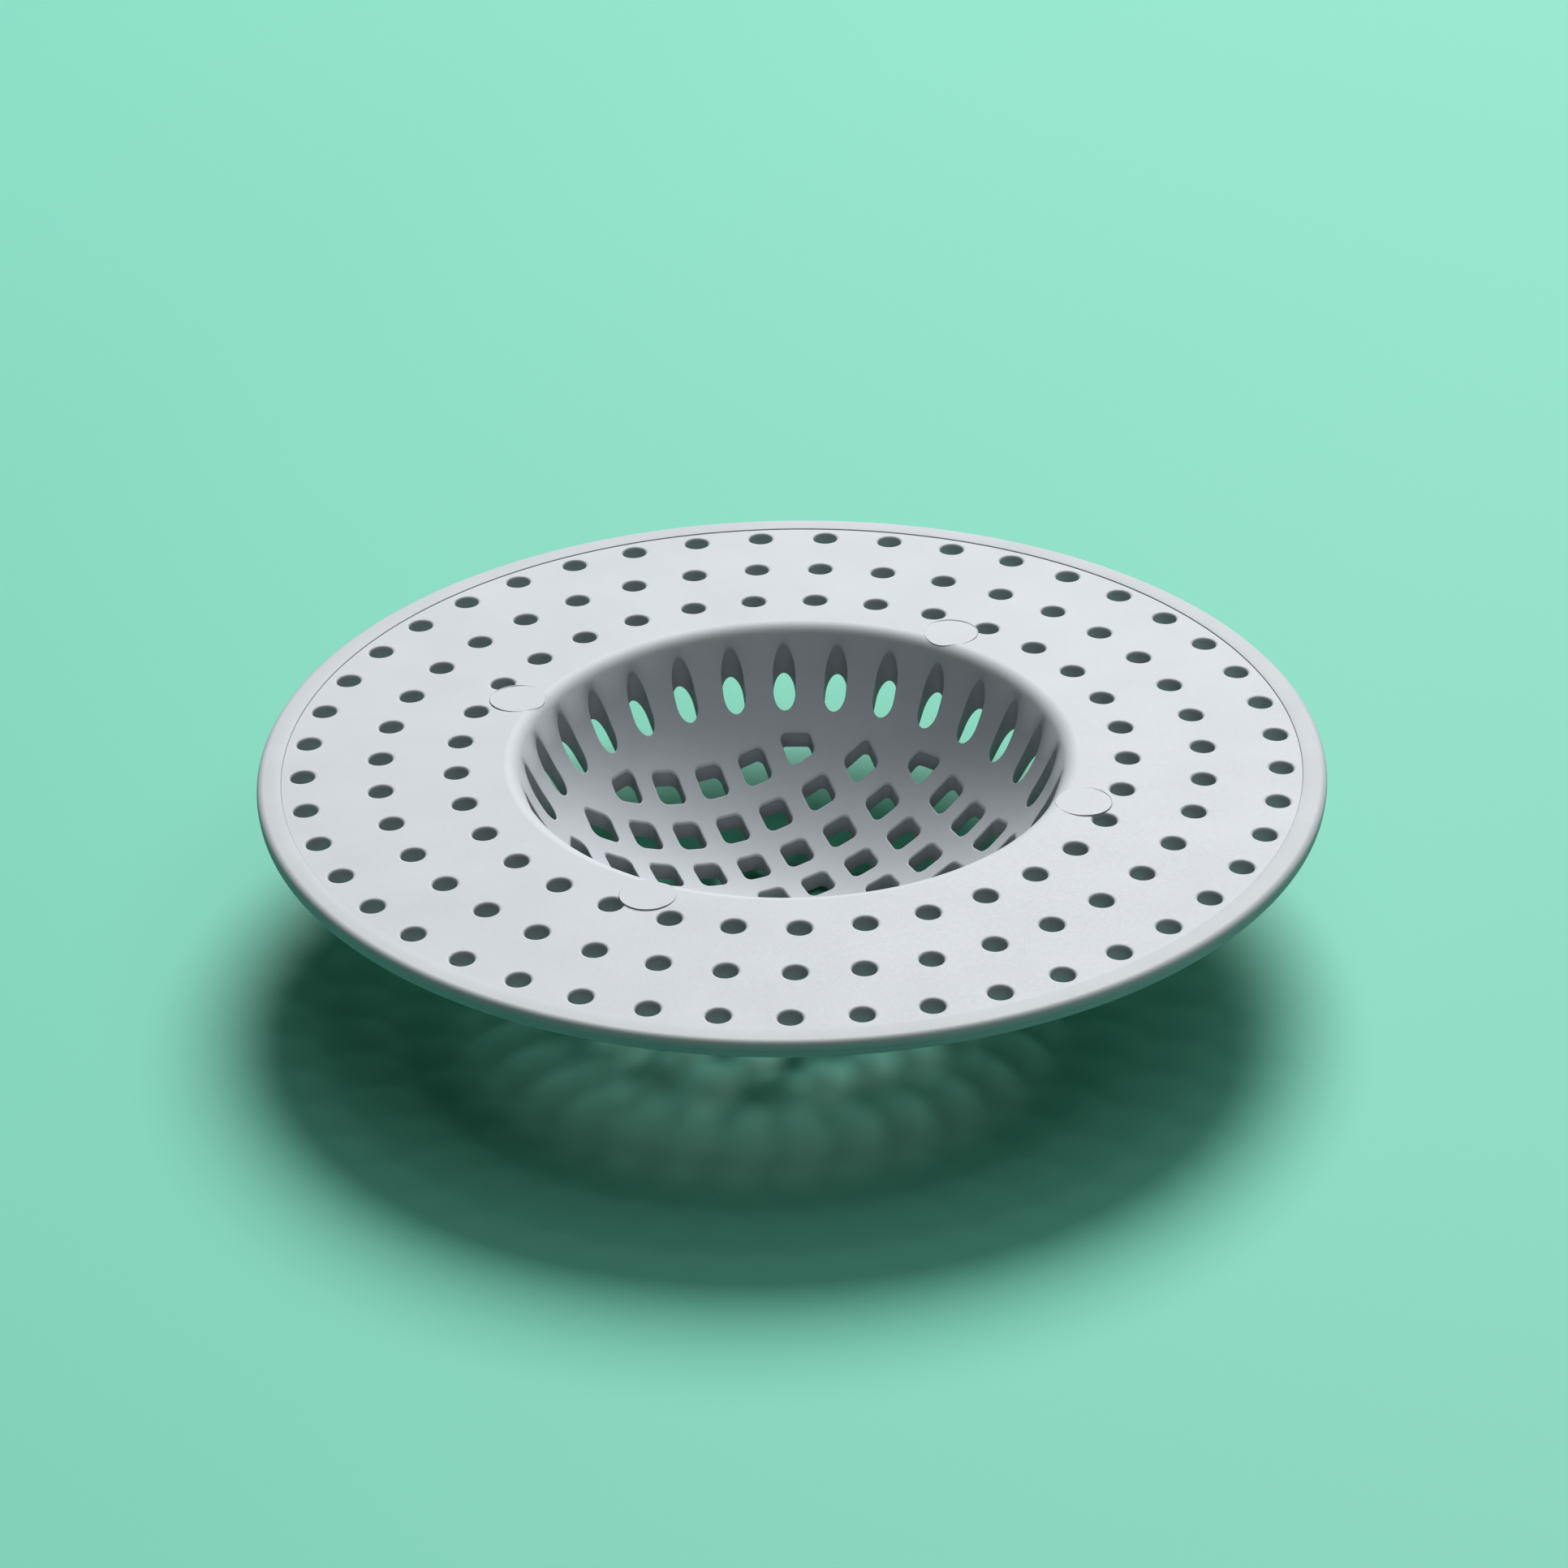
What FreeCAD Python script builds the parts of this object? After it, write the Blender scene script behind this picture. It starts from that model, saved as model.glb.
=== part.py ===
"""Sink strainer: a perforated flange, a rim ring, a strainer bowl and four pegs that hold the bowl.

Millimetres, +Z up. The origin is on the axis, under the flat foot of the bowl, which stands on z = 0.
Every opening is cut straight along Z, the way a two-part mould draws.
"""
import math
import os

import FreeCAD
import Part
import Sketcher

# Driving sizes in millimetres.
SIZES = {
    "outer_dia": 110.0,          # over the rim
    "rim_width": 2.5,            # rim ring seen from above
    "rim_raise": 0.1,            # rim above the flange where they meet
    "parting_step": 0.06,        # lower half of the rim stands back by this much
    "tongue_length": 1.2,        # flange edge that sits in the rim's groove
    "tongue_thick": 0.8,
    "flange_thick": 1.8,         # measured along the axis
    "flange_fall": 1.1,          # from the mouth to the rim
    "mouth_dia": 59.2,           # where the lip starts to turn down
    "lip_round": 1.8,
    "bowl_depth": 19.7,          # from the mouth's edge to the inside of the bowl
    "bowl_wall": 1.8,            # at the bottom, where it is thickest
    "sphere_drop": 1.5,          # the bowl's outer sphere is centred this far below the inner one
    "wall_inset": 0.52,          # from the mouth's edge in to the wall's outside, under the flange
    "foot_cut": 0.54,            # flattened off the bottom, for the bowl to stand on
    "collar_margin": 0.25,       # between the bowl's collar and the first ring of holes
    "hole_dia": 2.5,
    "inner_ring_margin": 4.9,    # from the mouth to the first ring of holes
    "outer_ring_margin": 2.2,    # from the last ring of holes to the rim
    "slot_width": 2.35,
    "slot_straight": 0.75,       # between the slot's round ends, in plan; the steep wall stretches it
    "slot_gap": 1.88,            # from the dish's edge to the slots, in plan
    "window_side": 2.95,
    "window_corner": 0.7,
    "grid_pitch": 5.03,
    "grid_margin": 1.53,         # plain band between the grid and the slots, in plan
    "grid_shift": 0.45,          # middle window from the axis, along Y
    "peg_inset": 1.8,            # from the mouth to the pegs' axes
    "peg_head_dia": 5.8,
    "peg_head_thick": 0.4,
    "peg_proud": 0.1,            # head above the flange
    "peg_shank_dia": 1.8,
    "cut_overrun": 2.0,          # cutting shapes reach past what they cut by this much
}

# Driving counts.
COUNTS = {
    "inner_ring_holes": 33,
    "middle_ring_holes": 39,
    "outer_ring_holes": 45,
    "slots": 30,
    "grid_rows": 9,
}

# Each peg stands after this hole of the inner ring, counted from +X, by a share of a step between holes.
PEG_AFTER_HOLES = (3, 12, 19, 28)
PEG_STEP_SHARE = 0.4

# The gridded bottom is part of a sphere, a little rounder than one through the mouth's edge.
# It turns into the steeper side wall at a share of the mouth's radius.
DISH_ROUND_SHARE = 0.997
DISH_SPREAD_SHARE = 0.765

# First guess for the side wall's radius, as a share of the dish's; the sketch solves the exact value.
SIDE_GUESS_SHARE = 0.6

# Roundings of the rim's outer edge, as shares of its height above and below the parting line.
RIM_ROUND_SHARE = 0.9
RIM_FOOT_ROUND_SHARE = 0.55

WHOLE_TURN = 360.0


class Size:
    """A size as a number, together with the sheet formula that drives it."""

    def __init__(self, number, formula):
        self.number = number
        self.formula = formula

    def joined(self, sign, other, number):
        term = other.formula if isinstance(other, Size) else repr(other)
        return Size(number, "(%s %s %s)" % (self.formula, sign, term))

    def __add__(self, other):
        return self.joined("+", other, self.number + number_of(other))

    def __sub__(self, other):
        return self.joined("-", other, self.number - number_of(other))

    def __mul__(self, other):
        return self.joined("*", other, self.number * number_of(other))

    def __truediv__(self, other):
        return self.joined("/", other, self.number / number_of(other))


def number_of(value):
    return value.number if isinstance(value, Size) else value


doc = FreeCAD.newDocument("sink_strainer")
sheet = doc.addObject("Spreadsheet::Sheet", "sizes")


def fill_sheet():
    """Writes the driving sizes and counts to the sheet, one alias each, and returns them by name."""
    named = {}
    rows = list(SIZES.items()) + list(COUNTS.items())
    for row, (name, value) in enumerate(rows, start=1):
        sheet.set("A%d" % row, name)
        sheet.set("B%d" % row, str(value))
        sheet.setAlias("B%d" % row, name)
        named[name] = Size(value, "sizes.%s" % name)
    doc.recompute()
    return named


size = fill_sheet()

# Radii
OUTER_R = size["outer_dia"] / 2
SEAM_R = OUTER_R - size["rim_width"]
TONGUE_R = SEAM_R + size["tongue_length"]
MOUTH_R = size["mouth_dia"] / 2
DISH_R = MOUTH_R * DISH_SPREAD_SHARE
INNER_RING_R = MOUTH_R + size["inner_ring_margin"]
OUTER_RING_R = SEAM_R - size["outer_ring_margin"]
MIDDLE_RING_R = (INNER_RING_R + OUTER_RING_R) / 2
COLLAR_R = INNER_RING_R - size["hole_dia"] / 2 - size["collar_margin"]
PEG_CIRCLE_R = MOUTH_R + size["peg_inset"]
WALL_TOP_R = MOUTH_R - size["wall_inset"]
SLOT_INNER_R = DISH_R + size["slot_gap"]
SLOT_OUTER_R = SLOT_INNER_R + size["slot_width"] + size["slot_straight"]
GRID_R = SLOT_INNER_R - size["grid_margin"]

# Heights
DEPTH = size["bowl_depth"]
DISH_RADIUS = (MOUTH_R * MOUTH_R + DEPTH * DEPTH) / (DEPTH * 2) * DISH_ROUND_SHARE
OUTER_DISH_RADIUS = DISH_RADIUS + size["bowl_wall"] - size["sphere_drop"]
OUTER_DISH_R = DISH_R * (DISH_RADIUS + size["bowl_wall"]) / DISH_RADIUS
BASE_THICK = size["bowl_wall"] - size["foot_cut"]
OUTER_DISH_Z = BASE_THICK + DISH_RADIUS - size["sphere_drop"]
MOUTH_Z = BASE_THICK + DEPTH
SEAM_Z = MOUTH_Z - size["flange_fall"]
RIM_TOP_Z = SEAM_Z + size["rim_raise"]
PARTING_Z = SEAM_Z - size["flange_thick"] / 2
RIM_FOOT_Z = SEAM_Z - size["flange_thick"]
TONGUE_TOP_Z = SEAM_Z - (size["flange_thick"] - size["tongue_thick"]) / 2
TONGUE_FOOT_Z = TONGUE_TOP_Z - size["tongue_thick"]
FLANGE_SLOPE = size["flange_fall"] / (SEAM_R - MOUTH_R)


def flange_top(radius):
    """Height of the flange's upper face at a radius."""
    return MOUTH_Z - FLANGE_SLOPE * (radius - MOUTH_R)


def lap_face(radius):
    """Height of the face where the flange's edge lies on the bowl's collar."""
    return flange_top(radius) - size["flange_thick"] / 2


def flange_foot(radius):
    """Height of the flange's lower face at a radius."""
    return flange_top(radius) - size["flange_thick"]


def new_body(name):
    body = doc.addObject("PartDesign::Body", name)
    body.AllowCompound = True
    return body


def new_sketch(body, name, role):
    """A sketch on one of the body's own origin planes."""
    plane = next(item for item in body.Origin.OriginFeatures if item.Role == role)
    sketch = body.newObject("Sketcher::SketchObject", name)
    sketch.AttachmentSupport = [(plane, "")]
    sketch.MapMode = "FlatFace"
    return sketch


# A sketch's own origin point and axes, and the direction it faces
ORIGIN = (-1, 1)
X_AXIS = -1
Y_AXIS = -2
FACING = FreeCAD.Vector(0, 0, 1)


def pin(sketch, geometry, point, across, up):
    """Fixes a sketch point at two sizes from the origin; None leaves it on that axis."""
    if across is None:
        sketch.addConstraint(Sketcher.Constraint("PointOnObject", geometry, point, Y_AXIS))
    else:
        drive(sketch, Sketcher.Constraint("DistanceX", *ORIGIN, geometry, point, across.number), across)
    if up is None:
        sketch.addConstraint(Sketcher.Constraint("PointOnObject", geometry, point, X_AXIS))
    else:
        drive(sketch, Sketcher.Constraint("DistanceY", *ORIGIN, geometry, point, up.number), up)


def drive(sketch, constraint, value):
    """Adds a constraint whose number comes from the sheet."""
    index = sketch.addConstraint(constraint)
    sketch.setExpression("Constraints[%d]" % index, value.formula)


def vector(across, up):
    return FreeCAD.Vector(across, up, 0)


def add_polygon(sketch, corners):
    """A closed outline of straight lines through corners given as pairs of sizes."""
    points = [vector(number_of(across or 0), number_of(up or 0)) for across, up in corners]
    first = None
    for place, start in enumerate(points):
        end = points[(place + 1) % len(points)]
        line = sketch.addGeometry(Part.LineSegment(start, end))
        first = line if first is None else first
        pin(sketch, line, 1, *corners[place])
    for place in range(len(points)):
        following = first + (place + 1) % len(points)
        sketch.addConstraint(Sketcher.Constraint("Coincident", first + place, 2, following, 1))


def revolve(body, sketch, name):
    feature = body.newObject("PartDesign::Revolution", name)
    feature.Profile = sketch
    feature.ReferenceAxis = (sketch, ["V_Axis"])
    feature.Angle = WHOLE_TURN
    sketch.Visibility = False
    return feature


def cut_through(body, sketch, name):
    """A pocket from the sketch on z = 0 up through everything above it."""
    pocket = body.newObject("PartDesign::Pocket", name)
    pocket.Profile = sketch
    pocket.Type = "ThroughAll"
    pocket.Reversed = True
    return pocket


def repeat_round(body, feature, sketch, name, count):
    """Repeats a feature evenly round the axis."""
    pattern = body.newObject("PartDesign::PolarPattern", name)
    pattern.Originals = [feature]
    pattern.Axis = (sketch, ["N_Axis"])
    pattern.Angle = WHOLE_TURN
    pattern.setExpression("Occurrences", count.formula)
    body.Tip = pattern
    return pattern


def ring_edges(shape, radius, height):
    """Names of the circular edges with this radius at this height."""
    near = size["parting_step"].number / 4
    names = []
    for number, edge in enumerate(shape.Edges, start=1):
        if not isinstance(edge.Curve, Part.Circle):
            continue
        same_radius = abs(edge.Curve.Radius - radius.number) < near
        same_height = abs(edge.Curve.Center.z - height.number) < near
        if same_radius and same_height:
            names.append("Edge%d" % number)
    return names


def round_edge(body, feature, name, radius, height, rounding):
    """Rounds the circular edge at a radius and height of a turned body."""
    doc.recompute()
    fillet = body.newObject("PartDesign::Fillet", name)
    fillet.Base = (feature, ring_edges(feature.Shape, radius, height))
    fillet.Radius = rounding.number
    fillet.setExpression("Radius", rounding.formula)
    body.Tip = fillet
    return fillet


def add_hole_ring(body, name, radius, count):
    """One round hole on +X, repeated round the axis."""
    sketch = new_sketch(body, name + "_hole", "XY_Plane")
    centre = vector(radius.number, 0)
    hole = size["hole_dia"]
    circle = sketch.addGeometry(Part.Circle(centre, FACING, hole.number / 2))
    pin(sketch, circle, 3, radius, None)
    drive(sketch, Sketcher.Constraint("Diameter", circle, hole.number), hole)
    pocket = cut_through(body, sketch, name + "_cut")
    repeat_round(body, pocket, sketch, name, count)


def make_flange():
    """The perforated flange, with a tongue for the rim and a rebate that lies on the bowl's collar."""
    body = new_body("flange_blank")
    sketch = new_sketch(body, "flange_section", "XZ_Plane")
    add_polygon(sketch, [
        (MOUTH_R, MOUTH_Z),
        (MOUTH_R, lap_face(MOUTH_R)),
        (COLLAR_R, lap_face(COLLAR_R)),
        (COLLAR_R, flange_foot(COLLAR_R)),
        (SEAM_R, RIM_FOOT_Z),
        (SEAM_R, TONGUE_FOOT_Z),
        (TONGUE_R, TONGUE_FOOT_Z),
        (TONGUE_R, TONGUE_TOP_Z),
        (SEAM_R, TONGUE_TOP_Z),
        (SEAM_R, SEAM_Z),
    ])
    revolve(body, sketch, "flange_turned")
    add_hole_ring(body, "inner_ring", INNER_RING_R, size["inner_ring_holes"])
    add_hole_ring(body, "middle_ring", MIDDLE_RING_R, size["middle_ring_holes"])
    add_hole_ring(body, "outer_ring", OUTER_RING_R, size["outer_ring_holes"])
    return body


def make_rim():
    """The rim ring: a rounded edge with a groove inside for the flange's tongue."""
    body = new_body("rim_ring")
    sketch = new_sketch(body, "rim_section", "XZ_Plane")
    lower_r = OUTER_R - size["parting_step"]
    add_polygon(sketch, [
        (SEAM_R, RIM_TOP_Z),
        (SEAM_R, TONGUE_TOP_Z),
        (TONGUE_R, TONGUE_TOP_Z),
        (TONGUE_R, TONGUE_FOOT_Z),
        (SEAM_R, TONGUE_FOOT_Z),
        (SEAM_R, RIM_FOOT_Z),
        (lower_r, RIM_FOOT_Z),
        (lower_r, PARTING_Z),
        (OUTER_R, PARTING_Z),
        (OUTER_R, RIM_TOP_Z),
    ])
    turned = revolve(body, sketch, "rim_turned")
    rounding = (RIM_TOP_Z - PARTING_Z) * RIM_ROUND_SHARE
    foot_rounding = (PARTING_Z - RIM_FOOT_Z) * RIM_FOOT_ROUND_SHARE
    upper = round_edge(body, turned, "rim_upper_edge", OUTER_R, RIM_TOP_Z, rounding)
    round_edge(body, upper, "rim_lower_edge", lower_r, RIM_FOOT_Z, foot_rounding)
    return body


def arc(centre, radius, start, end):
    """An arc of a circle in the sketch plane, counter-clockwise between two angles."""
    circle = Part.Circle(centre, FACING, radius)
    return Part.ArcOfCircle(circle, start, end)


def angle_to(centre, point):
    return math.atan2(point.y - centre.y, point.x - centre.x)


def add_bowl_section(sketch):
    """Half of the bowl's section: a spherical dish, a rounder side wall, the lip and the collar."""
    dish = DISH_RADIUS.number
    outer = OUTER_DISH_RADIUS.number
    lip = size["lip_round"].number
    side = dish * SIDE_GUESS_SHARE
    dish_centre = vector(0, BASE_THICK.number + dish)
    turn = math.asin(DISH_R.number / dish)
    outward = vector(math.sin(turn), -math.cos(turn))
    side_centre = dish_centre + outward * (dish - side)
    mouth = vector(MOUTH_R.number, MOUTH_Z.number)
    lip_centre = mouth - vector(0, lip)
    lip_start = angle_to(lip_centre, side_centre)
    wall_end = angle_to(side_centre, lip_centre)
    outer_centre = vector(0, OUTER_DISH_Z.number)
    foot_turn = math.acos(outer_centre.y / outer)
    foot = vector(outer * math.sin(foot_turn), 0)
    outer_turn = math.asin(OUTER_DISH_R.number / outer)
    outer_outward = vector(math.sin(outer_turn), -math.cos(outer_turn))
    under = vector(WALL_TOP_R.number, flange_foot(WALL_TOP_R).number)
    rise = under - outer_centre - outer_outward * outer
    outer_bend = rise.dot(rise) / rise.dot(outer_outward) / -2
    outer_side_centre = outer_centre + outer_outward * (outer - outer_bend)
    outer_end = angle_to(outer_side_centre, under)
    quarter = math.pi / 2
    collar_foot = vector(COLLAR_R.number, flange_foot(COLLAR_R).number)
    collar_top = vector(COLLAR_R.number, lap_face(COLLAR_R).number)
    seam_foot = vector(MOUTH_R.number, lap_face(MOUTH_R).number)
    bottom = vector(0, BASE_THICK.number)
    base_line = sketch.addGeometry(Part.LineSegment(vector(0, 0), foot))
    outer_dish = sketch.addGeometry(arc(outer_centre, outer, foot_turn - quarter, outer_turn - quarter))
    outer_side = sketch.addGeometry(arc(outer_side_centre, outer_bend, outer_turn - quarter, outer_end))
    under_line = sketch.addGeometry(Part.LineSegment(under, collar_foot))
    collar_edge = sketch.addGeometry(Part.LineSegment(collar_foot, collar_top))
    lap_line = sketch.addGeometry(Part.LineSegment(collar_top, seam_foot))
    seam_line = sketch.addGeometry(Part.LineSegment(seam_foot, mouth))
    lip_arc = sketch.addGeometry(arc(lip_centre, lip, quarter, lip_start))
    inner_side = sketch.addGeometry(arc(side_centre, side, turn - quarter, wall_end))
    inner_dish = sketch.addGeometry(arc(dish_centre, dish, -quarter, turn - quarter))
    axis_line = sketch.addGeometry(Part.LineSegment(bottom, vector(0, 0)))
    seam_point = vector(SEAM_R.number, SEAM_Z.number)
    flange_line = sketch.addGeometry(Part.LineSegment(mouth, seam_point), True)
    joins = [
        ("Coincident", base_line, 1, *ORIGIN),
        ("Coincident", base_line, 2, outer_dish, 1),
        ("Tangent", outer_dish, 2, outer_side, 1),
        ("Coincident", outer_side, 2, under_line, 1),
        ("Coincident", under_line, 2, collar_edge, 1),
        ("Coincident", collar_edge, 2, lap_line, 1),
        ("Coincident", lap_line, 2, seam_line, 1),
        ("Coincident", seam_line, 2, lip_arc, 1),
        ("Tangent", lip_arc, 2, inner_side, 2),
        ("Tangent", inner_side, 1, inner_dish, 2),
        ("Coincident", inner_dish, 1, axis_line, 1),
        ("Coincident", axis_line, 2, *ORIGIN),
        ("PointOnObject", inner_dish, 3, Y_AXIS),
        ("PointOnObject", base_line, 2, X_AXIS),
        ("Tangent", flange_line, 1, lip_arc, 1),
        ("Parallel", under_line, flange_line),
    ]
    for join in joins:
        sketch.addConstraint(Sketcher.Constraint(*join))
    pin(sketch, inner_dish, 1, None, BASE_THICK)
    pin(sketch, flange_line, 2, SEAM_R, SEAM_Z)
    pin(sketch, seam_line, 2, MOUTH_R, MOUTH_Z)
    pin(sketch, seam_line, 1, MOUTH_R, lap_face(MOUTH_R))
    pin(sketch, lap_line, 1, COLLAR_R, lap_face(COLLAR_R))
    pin(sketch, collar_edge, 1, COLLAR_R, flange_foot(COLLAR_R))
    pin(sketch, outer_dish, 3, None, OUTER_DISH_Z)
    drive(sketch, Sketcher.Constraint("Radius", inner_dish, dish), DISH_RADIUS)
    drive(sketch, Sketcher.Constraint("Radius", outer_dish, outer), OUTER_DISH_RADIUS)
    drive(sketch, Sketcher.Constraint("Radius", lip_arc, lip), size["lip_round"])
    for curve, across in ((inner_dish, DISH_R), (outer_dish, OUTER_DISH_R), (outer_side, WALL_TOP_R)):
        drive(sketch, Sketcher.Constraint("DistanceX", *ORIGIN, curve, 2, across.number), across)


def add_slots(body):
    """One slot with round ends, half a step from +X, repeated round the wall."""
    sketch = new_sketch(body, "slot_outline", "XY_Plane")
    half_width = size["slot_width"] / 2
    inner = SLOT_INNER_R + half_width
    outer = SLOT_OUTER_R - half_width
    quarter = math.pi / 2
    radius = half_width.number
    inner_end = sketch.addGeometry(arc(vector(inner.number, 0), radius, quarter, 3 * quarter))
    outer_end = sketch.addGeometry(arc(vector(outer.number, 0), radius, -quarter, quarter))
    sides = []
    for up in (radius, -radius):
        start = vector(inner.number, up)
        end = vector(outer.number, up)
        sides.append(sketch.addGeometry(Part.LineSegment(start, end)))
    joins = [
        ("Tangent", sides[0], 1, inner_end, 1),
        ("Tangent", sides[1], 1, inner_end, 2),
        ("Tangent", sides[0], 2, outer_end, 2),
        ("Tangent", sides[1], 2, outer_end, 1),
    ]
    for join in joins:
        sketch.addConstraint(Sketcher.Constraint(*join))
    pin(sketch, inner_end, 3, inner, None)
    pin(sketch, outer_end, 3, outer, None)
    drive(sketch, Sketcher.Constraint("Radius", inner_end, radius), half_width)
    sketch.setExpression("AttachmentOffset.Rotation.Angle", "%s / 2 / sizes.slots" % WHOLE_TURN)
    pocket = cut_through(body, sketch, "slot_cut")
    repeat_round(body, pocket, sketch, "slot_ring", size["slots"])


def add_window(sketch, centre_x, centre_y):
    """A square with rounded corners, centred at two sizes below the origin on both axes."""
    half = size["window_side"] / 2
    corner = size["window_corner"]
    straight = half - corner
    quarter = math.pi / 2
    corners = []
    for place, (right, top) in enumerate(((1, 1), (-1, 1), (-1, -1), (1, -1))):
        across = straight.number * right - centre_x.number
        up = straight.number * top - centre_y.number
        start = place * quarter
        corners.append(sketch.addGeometry(arc(vector(across, up), corner.number, start, start + quarter)))
        middle_x = centre_x - straight if right > 0 else centre_x + straight
        middle_y = centre_y - straight if top > 0 else centre_y + straight
        turn = corners[-1]
        drive(sketch, Sketcher.Constraint("DistanceX", turn, 3, *ORIGIN, middle_x.number), middle_x)
        drive(sketch, Sketcher.Constraint("DistanceY", turn, 3, *ORIGIN, middle_y.number), middle_y)
        drive(sketch, Sketcher.Constraint("Radius", turn, corner.number), corner)
    for place, turn in enumerate(corners):
        following = corners[(place + 1) % len(corners)]
        start = sketch.Geometry[turn].EndPoint
        end = sketch.Geometry[following].StartPoint
        side = sketch.addGeometry(Part.LineSegment(start, end))
        sketch.addConstraint(Sketcher.Constraint("Tangent", turn, 2, side, 1))
        sketch.addConstraint(Sketcher.Constraint("Tangent", side, 2, following, 1))


def make_windows():
    """The grid's cutting shape: square prisms in rows, kept inside a circle."""
    body = new_body("window_prisms")
    sketch = new_sketch(body, "window_outline", "XY_Plane")
    reach = size["grid_pitch"] * (size["grid_rows"] - 1) / 2
    add_window(sketch, reach, reach - size["grid_shift"])
    pad = body.newObject("PartDesign::Pad", "window_prism")
    pad.Profile = sketch
    pad.Midplane = True
    pad.setExpression("Length", (MOUTH_Z * 2).formula)
    pattern = body.newObject("PartDesign::LinearPattern", "window_rows")
    pattern.Originals = [pad]
    pattern.Direction = (sketch, ["H_Axis"])
    pattern.Direction2 = (sketch, ["V_Axis"])
    for number in ("", "2"):
        pattern.setExpression("Length" + number, (reach * 2).formula)
        pattern.setExpression("Occurrences" + number, size["grid_rows"].formula)
    body.Tip = pattern
    disc = doc.addObject("Part::Cylinder", "grid_disc")
    disc.setExpression("Radius", GRID_R.formula)
    disc.setExpression("Height", (MOUTH_Z + size["cut_overrun"]).formula)
    disc.setExpression("Placement.Base.z", "-%s" % size["cut_overrun"].formula)
    windows = doc.addObject("Part::Common", "grid_windows")
    windows.Base = body
    windows.Tool = disc
    windows.Refine = False
    return windows


def make_bowl():
    """The bowl's turned shape with its slots; grid and peg seats follow."""
    body = new_body("bowl_blank")
    sketch = new_sketch(body, "bowl_section", "XZ_Plane")
    add_bowl_section(sketch)
    revolve(body, sketch, "bowl_turned")
    add_slots(body)
    return body


def make_peg(number, after_hole):
    """A press-in peg: a broad thin head on a shank, seated in flange, lip and collar."""
    body = new_body("collar_peg_%d" % number)
    sketch = new_sketch(body, "peg_section_%d" % number, "XZ_Plane")
    head_r = size["peg_head_dia"] / 2
    shank_r = size["peg_shank_dia"] / 2
    head_top = flange_top(PEG_CIRCLE_R) + size["peg_proud"]
    seat = head_top - size["peg_head_thick"]
    foot = flange_foot(PEG_CIRCLE_R)
    add_polygon(sketch, [
        (None, foot),
        (shank_r, foot),
        (shank_r, seat),
        (head_r, seat),
        (head_r, head_top),
        (None, head_top),
    ])
    revolve(body, sketch, "peg_turned_%d" % number)
    turn = "(%s * %s / sizes.inner_ring_holes)" % (after_hole + PEG_STEP_SHARE, WHOLE_TURN)
    body.setExpression("Placement.Base.x", "%s * cos(%s)" % (PEG_CIRCLE_R.formula, turn))
    body.setExpression("Placement.Base.y", "%s * sin(%s)" % (PEG_CIRCLE_R.formula, turn))
    return body


def cut_from(label, base, tools):
    """A finished piece: the base less the tools."""
    together = doc.addObject("Part::Compound", label + "_cuts")
    together.Links = tools
    piece = doc.addObject("Part::Cut", label)
    piece.Base = base
    piece.Tool = together
    piece.Refine = False
    return piece


def check(item):
    """Stops the build on a broken object."""
    if "Invalid" in item.State or "Error" in item.State:
        raise RuntimeError("%s: %s" % (item.Label, item.State))
    if not item.isDerivedFrom("Part::Feature"):
        return
    if item.Shape.isNull() or not item.Shape.isValid():
        raise RuntimeError("%s has no valid shape" % item.Label)


def main():
    pegs = [make_peg(number, hole) for number, hole in enumerate(PEG_AFTER_HOLES, start=1)]
    rim = make_rim()
    flange = cut_from("flange_disc", make_flange(), pegs)
    bowl = cut_from("strainer_bowl", make_bowl(), [make_windows()] + pegs)
    doc.recompute()
    for item in doc.Objects:
        check(item)
    os.makedirs("parts", exist_ok=True)
    for piece in [flange, rim, bowl] + pegs:
        shape = piece.Shape
        shape.exportStep("parts/%s.step" % piece.Label)
        facts = (piece.Label, len(shape.Solids), shape.Volume, shape.BoundBox.ZMin, shape.BoundBox.ZMax)
        print("%s: %d solid, %.0f mm3, z %.2f to %.2f" % facts)


main()
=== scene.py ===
# %% [markdown]
# # A moulded sink strainer
# The object is a small plastic strainer that hangs in a kitchen drain: a flat perforated flange, a rim
# round it, a slotted bowl with a grid in its bottom, and four small pegs. Its solids come packed from CAD.
# They are exact, but their round edges are cut into flats and every edge is razor sharp. This lesson lays
# finer meshes over them, in the same place, and gives them the soft edges and the finish of a moulding.

import math

import bpy
import numpy as np
from mathutils import Matrix, Vector
from mathutils.geometry import delaunay_2d_cdt
from mathutils.kdtree import KDTree


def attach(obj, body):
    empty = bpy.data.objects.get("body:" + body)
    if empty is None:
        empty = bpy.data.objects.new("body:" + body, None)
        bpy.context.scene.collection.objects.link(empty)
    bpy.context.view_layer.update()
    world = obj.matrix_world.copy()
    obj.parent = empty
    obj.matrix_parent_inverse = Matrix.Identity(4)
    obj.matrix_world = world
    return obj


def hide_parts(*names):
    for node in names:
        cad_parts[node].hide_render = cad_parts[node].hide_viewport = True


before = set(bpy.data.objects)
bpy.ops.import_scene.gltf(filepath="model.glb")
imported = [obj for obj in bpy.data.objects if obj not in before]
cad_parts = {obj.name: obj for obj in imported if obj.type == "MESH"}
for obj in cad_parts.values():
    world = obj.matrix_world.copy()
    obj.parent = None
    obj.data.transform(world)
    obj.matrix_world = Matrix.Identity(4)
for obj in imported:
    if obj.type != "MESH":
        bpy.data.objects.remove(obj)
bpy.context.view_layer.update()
MM = 0.001
print("solids:", ", ".join(sorted(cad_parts)))

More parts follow.
